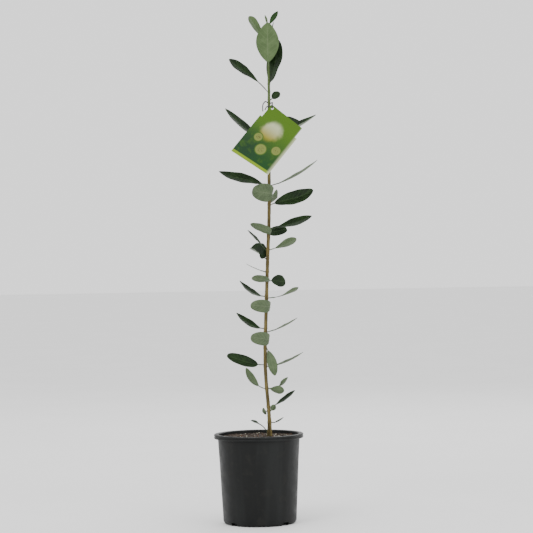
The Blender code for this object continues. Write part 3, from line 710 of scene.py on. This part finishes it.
def tag_finish():
    """A printed card: green ground, a pale glow, cut fruit and a bright foot stripe."""
    finish = Finish("tag_print")
    x, y, _ = finish.uv("card")
    ground = finish.mix(finish.ramp(y, *GROUND_SPAN), PRINT_DARK, PRINT_BRIGHT)
    corner = disc_mask(finish, x, y, DEEP_CENTRE, DEEP_RADIUS, DEEP_SOFT)
    ground = finish.mix(finish.math('MULTIPLY', corner, 0.75), ground, PRINT_DEEP)
    leaves = finish.noise(90.0, 4.0, 0.6)
    ground = finish.mix(finish.ramp(leaves, 0.5, 0.72, 0.0, 0.4), ground, PRINT_BRIGHT)
    wobble = finish.math('MULTIPLY', finish.noise(60.0, 2.0), GLOW_WOBBLE)
    wavy_x = finish.math('ADD', x, wobble)
    glow = disc_mask(finish, wavy_x, y, GLOW_CENTRE, GLOW_RADIUS, GLOW_SOFT)
    cream = finish.mix(finish.ramp(y, *CREAM_SPAN), PRINT_GOLD, PRINT_CREAM)
    colour = finish.mix(finish.math('MULTIPLY', glow, 0.85), ground, cream)
    seeds = finish.ramp(finish.noise(480.0, 1.0), 0.52, 0.60)
    for centre, radius in FRUIT_SLICES:
        rind = disc_mask(finish, x, y, centre, radius, 0.5 * MM)
        flesh = disc_mask(finish, x, y, centre, radius * FLESH_SHARE, 0.8 * MM)
        heart = disc_mask(finish, x, y, centre, radius * HEART_SHARE, 2.0 * MM)
        colour = finish.mix(rind, colour, PRINT_RIND)
        colour = finish.mix(flesh, colour, PRINT_FLESH)
        colour = finish.mix(finish.math('MULTIPLY', heart, seeds), colour, PRINT_SEED)
    stripe = finish.ramp(y, *STRIPE_SPAN, 1.0, 0.0)
    colour = finish.mix(stripe, colour, PRINT_STRIPE)
    fade = finish.ramp(x, TAG_WIDTH - FADE_WIDTH, TAG_WIDTH, 0.0, 0.75)
    colour = finish.mix(fade, colour, PRINT_CREAM)
    finish.bump(finish.noise(1200.0, 2.0), 0.1, 0.3 * MM)
    return finish.done(colour, finish.ramp(leaves, 0.3, 0.7, 0.38, 0.5), 0.2)


def tie_finish():
    """Black plastic skin of the wire."""
    finish = Finish("tie_skin")
    grain = finish.noise(900.0, 3.0)
    colour = finish.mix(finish.ramp(grain, 0.4, 0.65), *TIE_SHADES)
    finish.bump(grain, 0.4, 0.3 * MM)
    return finish.done(colour, finish.ramp(grain, 0.3, 0.7, 0.4, 0.6), 0.5)


def link_new(name, data):
    """A new object in the scene that shows the data."""
    item = bpy.data.objects.new(name, data)
    bpy.context.collection.objects.link(item)
    return item


def mesh_from(name, bm):
    mesh = bpy.data.meshes.new(name)
    bm.to_mesh(mesh)
    bm.free()
    return mesh


def finish_piece(name, bm, materials, nodes, smooth_angle=50.0):
    """Makes the mesh an object that stands for its CAD nodes and rides on the plant."""
    bmesh.ops.recalc_face_normals(bm, faces=bm.faces)
    mesh = mesh_from(name, bm)
    mesh.shade_smooth()
    mesh.set_sharp_from_angle(angle=math.radians(smooth_angle))
    for material in materials:
        mesh.materials.append(material)
    piece = link_new(name, mesh)
    if nodes:
        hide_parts(*nodes)
    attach(piece, "root")
    return piece


def circle(radius, sides):
    """Points on a circle round the origin, as x and y."""
    angles = [2 * math.pi * i / sides for i in range(sides)]
    return [(radius * math.cos(angle), radius * math.sin(angle)) for angle in angles]


def skin(bm, rings, layer=None, maps=None, slots=None):
    """Joins rings into a closed tube; maps gives each point's place in the UV layer."""
    loops = [[bm.verts.new(point) for point in ring] for ring in rings]
    count = len(loops[0])
    for row in range(len(loops) - 1):
        for i in range(count):
            j = (i + 1) % count
            corners = ((row, i), (row, j), (row + 1, j), (row + 1, i))
            face = bm.faces.new([loops[a][b] for a, b in corners])
            if slots:
                face.material_index = slots[i]
            if layer:
                for loop, (a, b) in zip(face.loops, corners):
                    loop[layer].uv = maps[a][b]
    bm.faces.new(list(reversed(loops[0])))
    bm.faces.new(loops[-1])


def join_rings(bm, rings):
    """Joins rings of vertices, any of which may be a single one on the axis."""
    for lower, upper in zip(rings, rings[1:]):
        count = max(len(lower), len(upper))
        for i in range(count):
            j = (i + 1) % count
            if len(lower) == 1:
                bm.faces.new((lower[0], upper[j], upper[i]))
            elif len(upper) == 1:
                bm.faces.new((upper[0], lower[i], lower[j]))
            else:
                bm.faces.new((lower[i], lower[j], upper[j], upper[i]))


def blade_offset(spec, share, spot, upper, phase, waves):
    """Sideways and upward offset of a point on a blade; spot runs from -1 to 1 across it."""
    half = max(blade_half_width(spec, share), BLADE_LEAST_HALF)
    blend = min(1.0, share / BLADE_BLEND)
    fold = math.radians(spec.fold) * min(1.0, FOLD_OPENING * share)
    thick = BLADE_BASE_THICK * (1 - blend) + BLADE_THICK * blend
    reach = abs(spot)
    curve = 0.55 * reach + 0.45 * reach ** 2 - 0.12 * reach ** 6
    swing = math.sin(waves * RIPPLE_TURN * share + phase + spot)
    ripple = RIPPLE_HEIGHT * half * reach ** 2 * swing
    rim = 1 - BLADE_RIM_THINNING * reach ** 8
    lift = half * curve * math.sin(fold) + ripple
    if upper:
        lift += thick * rim / 2
    else:
        rib = RIB_HEIGHT * (1 - share) * math.exp(-(spot / RIB_WIDTH) ** 2)
        lift -= thick * rim / 2 + rib
    return half * spot * math.cos(fold), lift


def build_blade(spec, materials):
    """One leaf: the CAD leaf's course and outline, with a curved, gently waved blade."""
    root, first, second, tip, outward = leaf_course(spec)
    stalk_share = spec.stalk * MM / (tip - root).length
    chance = random.Random(spec.name)
    phase = chance.uniform(0, RIPPLE_TURN)
    waves = chance.uniform(*RIPPLE_WAVES)
    stops = [stalk_share * stop for stop in STALK_STOPS]
    for i in range(1, BLADE_RINGS + 1):
        share = (1 - math.cos(math.pi * i / (BLADE_RINGS + BLADE_TIP_GAP))) / 2
        stops.append(stalk_share + (1 - stalk_share) * share)
    spots = [-1 + 2 * i / BLADE_SEGMENTS for i in range(BLADE_SEGMENTS + 1)]
    across = [(spot + 1) / 2 for spot in spots]
    count = 2 * len(spots)
    rings = []
    maps = []
    for along in stops:
        centre = bezier(root, first, second, tip, along)
        step = bezier(root, first, second, tip, along + COURSE_STEP)
        tangent = outward if along == 0.0 else (step - centre).normalized()
        level = tangent.cross(Vector((0, 0, 1))).normalized()
        upright = level.cross(tangent)
        share = (along - stalk_share) / (1 - stalk_share)
        roll = math.radians(spec.roll + spec.twist * max(share, 0.0)) if along else 0.0
        side = level * math.cos(roll) - upright * math.sin(roll)
        normal = upright * math.cos(roll) + level * math.sin(roll)
        ring = []
        if share <= 0:
            for i in range(count):
                angle = math.pi - (i + 0.5) * 2 * math.pi / count
                spoke = side * math.cos(angle) + normal * math.sin(angle)
                ring.append(centre + spoke * STALK_RADIUS)
        else:
            for upper, row in ((True, spots), (False, reversed(spots))):
                for spot in row:
                    out, lift = blade_offset(spec, share, spot, upper, phase, waves)
                    ring.append(centre + side * out + normal * lift)
        rings.append(ring)
        maps.append([(u, max(share, 0.0)) for u in across + across[::-1]])
    bm = bmesh.new()
    layer = bm.loops.layers.uv.new("blade")
    slots = [0] * len(spots) + [1] * BLADE_SEGMENTS + [0]
    skin(bm, rings, layer, maps, slots)
    finish_piece(spec.name + "_blade", bm, materials, [spec.name])


def build_bark(material):
    """The trunk with a ring of scar at each pair of leaves and fine upright ridges."""
    foot = TRUNK_COURSE[0][0] * MM + CLEAR
    tip = TRUNK_COURSE[-1][0] * MM
    joints = [spec.height * MM for spec in LEAVES]
    rings = []
    for i in range(BARK_RINGS + 1):
        height = foot + (tip - foot) * i / BARK_RINGS
        centre = trunk_centre(height)
        swell = max(math.exp(-((height - joint) / NODE_REACH) ** 2) for joint in joints)
        ring = []
        for k in range(BARK_SIDES):
            angle = 2 * math.pi * k / BARK_SIDES
            radius = trunk_reach(height, angle)
            spread_x, spread_y = math.cos(angle) * RIDGE_SPREAD, math.sin(angle) * RIDGE_SPREAD
            spot = Vector((spread_x, spread_y, height * RIDGE_RATE))
            ridge = RIDGE_DEPTH * radius * noise.noise(spot)
            fine_ridge = FINE_RIDGE_DEPTH * radius * noise.noise(spot * FINE_RIDGE_RATE)
            reach = radius - BARK_INSET * radius + (ridge + fine_ridge) + NODE_SWELL * swell
            ring.append(centre + Vector((reach * math.cos(angle), reach * math.sin(angle), 0)))
        rings.append(ring)
    bm = bmesh.new()
    skin(bm, rings)
    finish_piece("trunk_bark", bm, [material], ["trunk"], 80.0)


def pot_profile():
    """Radius and height along the pot's wall, from the middle of its foot to its floor."""
    lip_bottom = POT_HEIGHT - LIP_HEIGHT
    foot_centre = (POT_FOOT_RADIUS - POT_FOOT_ROUND, POT_FOOT_ROUND)
    skirt = POT_LIP_RADIUS - LIP_SKIRT
    low_ridge = (POT_LIP_RADIUS - LIP_RIDGE, lip_bottom + LIP_RIDGE)
    top_ridge = (POT_LIP_RADIUS - LIP_RIDGE, POT_HEIGHT - LIP_RIDGE)
    inner_neck = POT_NECK_RADIUS - POT_WALL
    return [
        (0.0, 0.0),
        *arc(foot_centre, POT_FOOT_ROUND, -90, 0, POT_FOOT_STEPS),
        (POT_WAIST_RADIUS - WAIST_STEP, POT_WAIST_HEIGHT - WAIST_REACH),
        (POT_WAIST_RADIUS + WAIST_STEP, POT_WAIST_HEIGHT + WAIST_REACH),
        (POT_NECK_RADIUS, lip_bottom),
        (POT_NECK_RADIUS, POT_HEIGHT - LIP_SKIRT),
        (skirt, POT_HEIGHT - LIP_SKIRT),
        (skirt, lip_bottom),
        *arc(low_ridge, LIP_RIDGE, -90, 60, LOW_RIDGE_STEPS),
        *arc(top_ridge, LIP_RIDGE, -60, 90, TOP_RIDGE_STEPS),
        (inner_neck + RIM_BEVEL, POT_HEIGHT - RIM_DROP),
        (inner_neck, POT_HEIGHT - RIM_BEVEL),
        (inner_radius(lip_bottom), lip_bottom),
        (inner_radius(POT_WAIST_HEIGHT), POT_WAIST_HEIGHT),
        (POT_FOOT_RADIUS - POT_WALL, POT_FOOT_ROUND),
        (POT_FOOT_RADIUS - POT_FOOT_ROUND, POT_FLOOR),
        (0.0, POT_FLOOR),
    ]


def build_drain_cutter():
    """One box for each drain slot in the pot's foot."""
    bm = bmesh.new()
    for i in range(DRAIN_COUNT):
        angle = math.radians(DRAIN_FIRST + 360 * i / DRAIN_COUNT)
        for vert in bmesh.ops.create_cube(bm, size=1.0)["verts"]:
            along = POT_FOOT_RADIUS + vert.co.x * DRAIN_DEPTH
            across = vert.co.y * DRAIN_WIDTH
            vert.co = (
                along * math.cos(angle) - across * math.sin(angle),
                along * math.sin(angle) + across * math.cos(angle),
                vert.co.z * 2 * DRAIN_HEIGHT,
            )
    return link_new("drain_cutter", mesh_from("drain_cutter", bm))


def build_pot_skin(material):
    """The pot with its double-ridged lip, cut by the drain slots in its foot."""
    bm = bmesh.new()
    rings = []
    for radius, height in pot_profile():
        spots = circle(radius, POT_TURNS) if radius else [(0.0, 0.0)]
        rings.append([bm.verts.new((x, y, height)) for x, y in spots])
    join_rings(bm, rings)
    pot = finish_piece("pot_shell", bm, [material], ["pot"], 35.0)
    cutter = build_drain_cutter()
    cut = pot.modifiers.new("drain_slots", 'BOOLEAN')
    cut.operation = 'DIFFERENCE'
    cut.object = cutter
    with bpy.context.temp_override(object=pot, active_object=pot):
        bpy.ops.object.modifier_apply(modifier=cut.name)
    bpy.data.objects.remove(cutter)


def mix_height(x, y):
    """Height of the potting mix's rough top."""
    spot = Vector((x, y, 0.0))
    rough = sum(height * noise.noise(spot * rate) for height, rate in (MIX_WAVES, MIX_GRAINS))
    return SOIL_LEVEL - MIX_DROP + rough


def build_mix_bed(rim, material):
    """The mix itself, with a rough top and a wall down to its foot."""
    bm = bmesh.new()
    rings = []
    for row in range(MIX_RINGS + 1):
        spots = circle(rim * row / MIX_RINGS, MIX_SIDES) if row else [(0.0, 0.0)]
        rings.append([bm.verts.new((x, y, mix_height(x, y))) for x, y in spots])
    foot = [bm.verts.new((x, y, MIX_FOOT_SHARE * SOIL_LEVEL)) for x, y in circle(rim, MIX_SIDES)]
    rings.append(foot)
    join_rings(bm, rings)
    bm.faces.new(list(reversed(foot)))
    finish_piece("mix_bed", bm, [material], ["potting_mix"], 80.0)


def build_mix_chips(rim, materials):
    """Loose chips on the mix, most of them dark and some small ones pale or red."""
    chance = random.Random(CHIP_SEED)
    bm = bmesh.new()
    for _ in range(CHIP_COUNT):
        angle = chance.uniform(0, 2 * math.pi)
        radius = (rim - CHIP_RIM_GAP) * math.sqrt(chance.random())
        x, y = radius * math.cos(angle), radius * math.sin(angle)
        long = chance.uniform(*CHIP_LENGTHS) * MM
        kind = chance.choices(CHIP_KINDS, CHIP_KIND_SHARES)[0]
        wide = long * chance.uniform(*CHIP_WIDTHS)
        deep = long * chance.uniform(*CHIP_DEPTHS)
        if kind:
            long, wide, deep = [long * share for share in SMALL_CHIP]
        turn = chance.uniform(0, CHIP_TURN)
        lean = chance.uniform(-CHIP_LEAN, CHIP_LEAN)
        made = bmesh.ops.create_icosphere(bm, subdivisions=1, radius=0.5)["verts"]
        spread = Vector((x * CHIP_JAG_SPREAD, y * CHIP_JAG_SPREAD, 0))
        for vert in made:
            jag = 1 + CHIP_JAG * noise.noise(vert.co * CHIP_JAG_RATE + spread)
            px = vert.co.x * long * jag
            py = vert.co.y * wide * jag
            pz = vert.co.z * deep * jag + px * lean
            vert.co = (
                x + px * math.cos(turn) - py * math.sin(turn),
                y + px * math.sin(turn) + py * math.cos(turn),
                mix_height(x, y) + CHIP_LIFT * deep + pz,
            )
            for face in vert.link_faces:
                face.material_index = kind
    finish_piece("mix_chips", bm, materials, [], 30.0)


def build_card(materials):
    """The hang tag, with its print on the front and a plain back and edge."""
    across, up, face = tag_frame()
    hole_x = TAG_HEADER_INSET + TAG_HOLE_EDGE
    hole_y = TAG_BODY_HEIGHT + TAG_HEADER_LEFT - TAG_HOLE_EDGE
    corner = TAG_HANG_POINT - across * hole_x - up * hole_y
    hole = [(hole_x + x, hole_y + y) for x, y in circle(TAG_HOLE_RADIUS, HOLE_SIDES)]
    bm = bmesh.new()
    layer = bm.loops.layers.uv.new("card")
    edges = []
    for path in (tag_outline(), hole):
        verts = [bm.verts.new((x, y, 0.0)) for x, y in path]
        edges += [bm.edges.new(pair) for pair in zip(verts, verts[1:] + verts[:1])]
    bmesh.ops.triangle_fill(bm, use_beauty=True, use_dissolve=False, edges=edges)
    for item in bm.faces:
        for loop in item.loops:
            loop[layer].uv = (loop.vert.co.x, loop.vert.co.y)
    for item in bmesh.ops.extrude_face_region(bm, geom=list(bm.faces))["geom"]:
        if isinstance(item, bmesh.types.BMVert):
            item.co.z = CARD_THICK
    bm.normal_update()
    for item in bm.faces:
        item.material_index = 0 if item.calc_center_median().z > 0.9 * CARD_THICK else 1
    for vert in bm.verts:
        x, y, z = vert.co
        vert.co = corner + across * x + up * y + face * (z - CARD_THICK / 2)
    finish_piece("tag_card", bm, materials, ["tag"], 30.0)


def build_wire(material):
    """The tie's round wire along its course."""
    course = smooth_course(tie_course(), WIRE_STEPS)
    spokes = circle(1.0, WIRE_SIDES)
    normal = Vector((0, 1, 0))
    rings = []
    for i, centre in enumerate(course):
        before = course[max(i - 1, 0)]
        after = course[min(i + 1, len(course) - 1)]
        tangent = (after - before).normalized()
        normal = (normal - tangent * normal.dot(tangent)).normalized()
        side = tangent.cross(normal)
        rings.append([centre + (normal * x + side * y) * WIRE_RADIUS for x, y in spokes])
    bm = bmesh.new()
    skin(bm, rings)
    finish_piece("tie_wire", bm, [material], ["tag_tie"], 60.0)


def build_floor():
    mesh = bpy.data.meshes.new("studio_floor")
    reach = FLOOR_REACH
    corners = [(-reach, -reach, 0), (reach, -reach, 0), (reach, reach, 0), (-reach, reach, 0)]
    mesh.from_pydata(corners, [], [(0, 1, 2, 3)])
    floor = link_new("studio_floor", mesh)
    finish = Finish("studio_white")
    tone = finish.mix(finish.ramp(finish.noise(3.0), 0.3, 0.7), *FLOOR_SHADES)
    mesh.materials.append(finish.done(tone, 0.9, 0.1))


def build_lights():
    world = bpy.data.worlds.new("studio")
    bpy.context.scene.world = world
    world.use_nodes = True
    background = world.node_tree.nodes["Background"]
    background.inputs["Color"].default_value = (1.0, 1.0, 1.0, 1.0)
    background.inputs["Strength"].default_value = WORLD_LIGHT
    for name, place, size, watts in LAMPS:
        lamp = bpy.data.lights.new(name, 'AREA')
        lamp.size = size
        lamp.energy = watts
        item = link_new(name, lamp)
        item.location = place
        item.rotation_euler = (LAMP_TARGET - Vector(place)).to_track_quat('-Z', 'Y').to_euler()


def build_camera():
    camera = bpy.data.cameras.new("camera")
    camera.lens = CAMERA_LENS
    camera.sensor_width = CAMERA_SENSOR
    camera.clip_end = CAMERA_REACH
    item = link_new("camera", camera)
    item.location = (CAMERA_RIGHT, -CAMERA_DISTANCE, CAMERA_HEIGHT)
    item.rotation_euler = (math.radians(90), math.radians(CAMERA_ROLL), 0.0)
    bpy.context.scene.camera = item


def main():
    old = [
        leaf_upper("old_leaf_top", OLD_TOP, OLD_TOP_ROUGHNESS),
        leaf_lower("old_leaf_under", OLD_UNDER),
    ]
    young = [
        leaf_upper("young_leaf_top", YOUNG_TOP, YOUNG_TOP_ROUGHNESS),
        leaf_lower("young_leaf_under", YOUNG_UNDER),
    ]
    for spec in LEAVES:
        build_blade(spec, young if spec.height > YOUNG_FROM else old)
    build_bark(bark_finish())
    build_pot_skin(pot_finish())
    dark = grain_finish("mix_dark", MIX_SHADES, 300.0)
    pale = grain_finish("mix_pale", PALE_CHIP_SHADES, 700.0)
    red = grain_finish("mix_red", RED_CHIP_SHADES, 500.0)
    mix_rim = inner_radius(POT_HEIGHT - LIP_HEIGHT) - CLEAR
    build_mix_bed(mix_rim, dark)
    build_mix_chips(mix_rim, [dark, pale, red])
    build_card([tag_finish(), grain_finish("tag_back", CARD_BACK_SHADES, 200.0, 0.5)])
    build_wire(tie_finish())
    build_floor()
    build_lights()
    build_camera()


main()
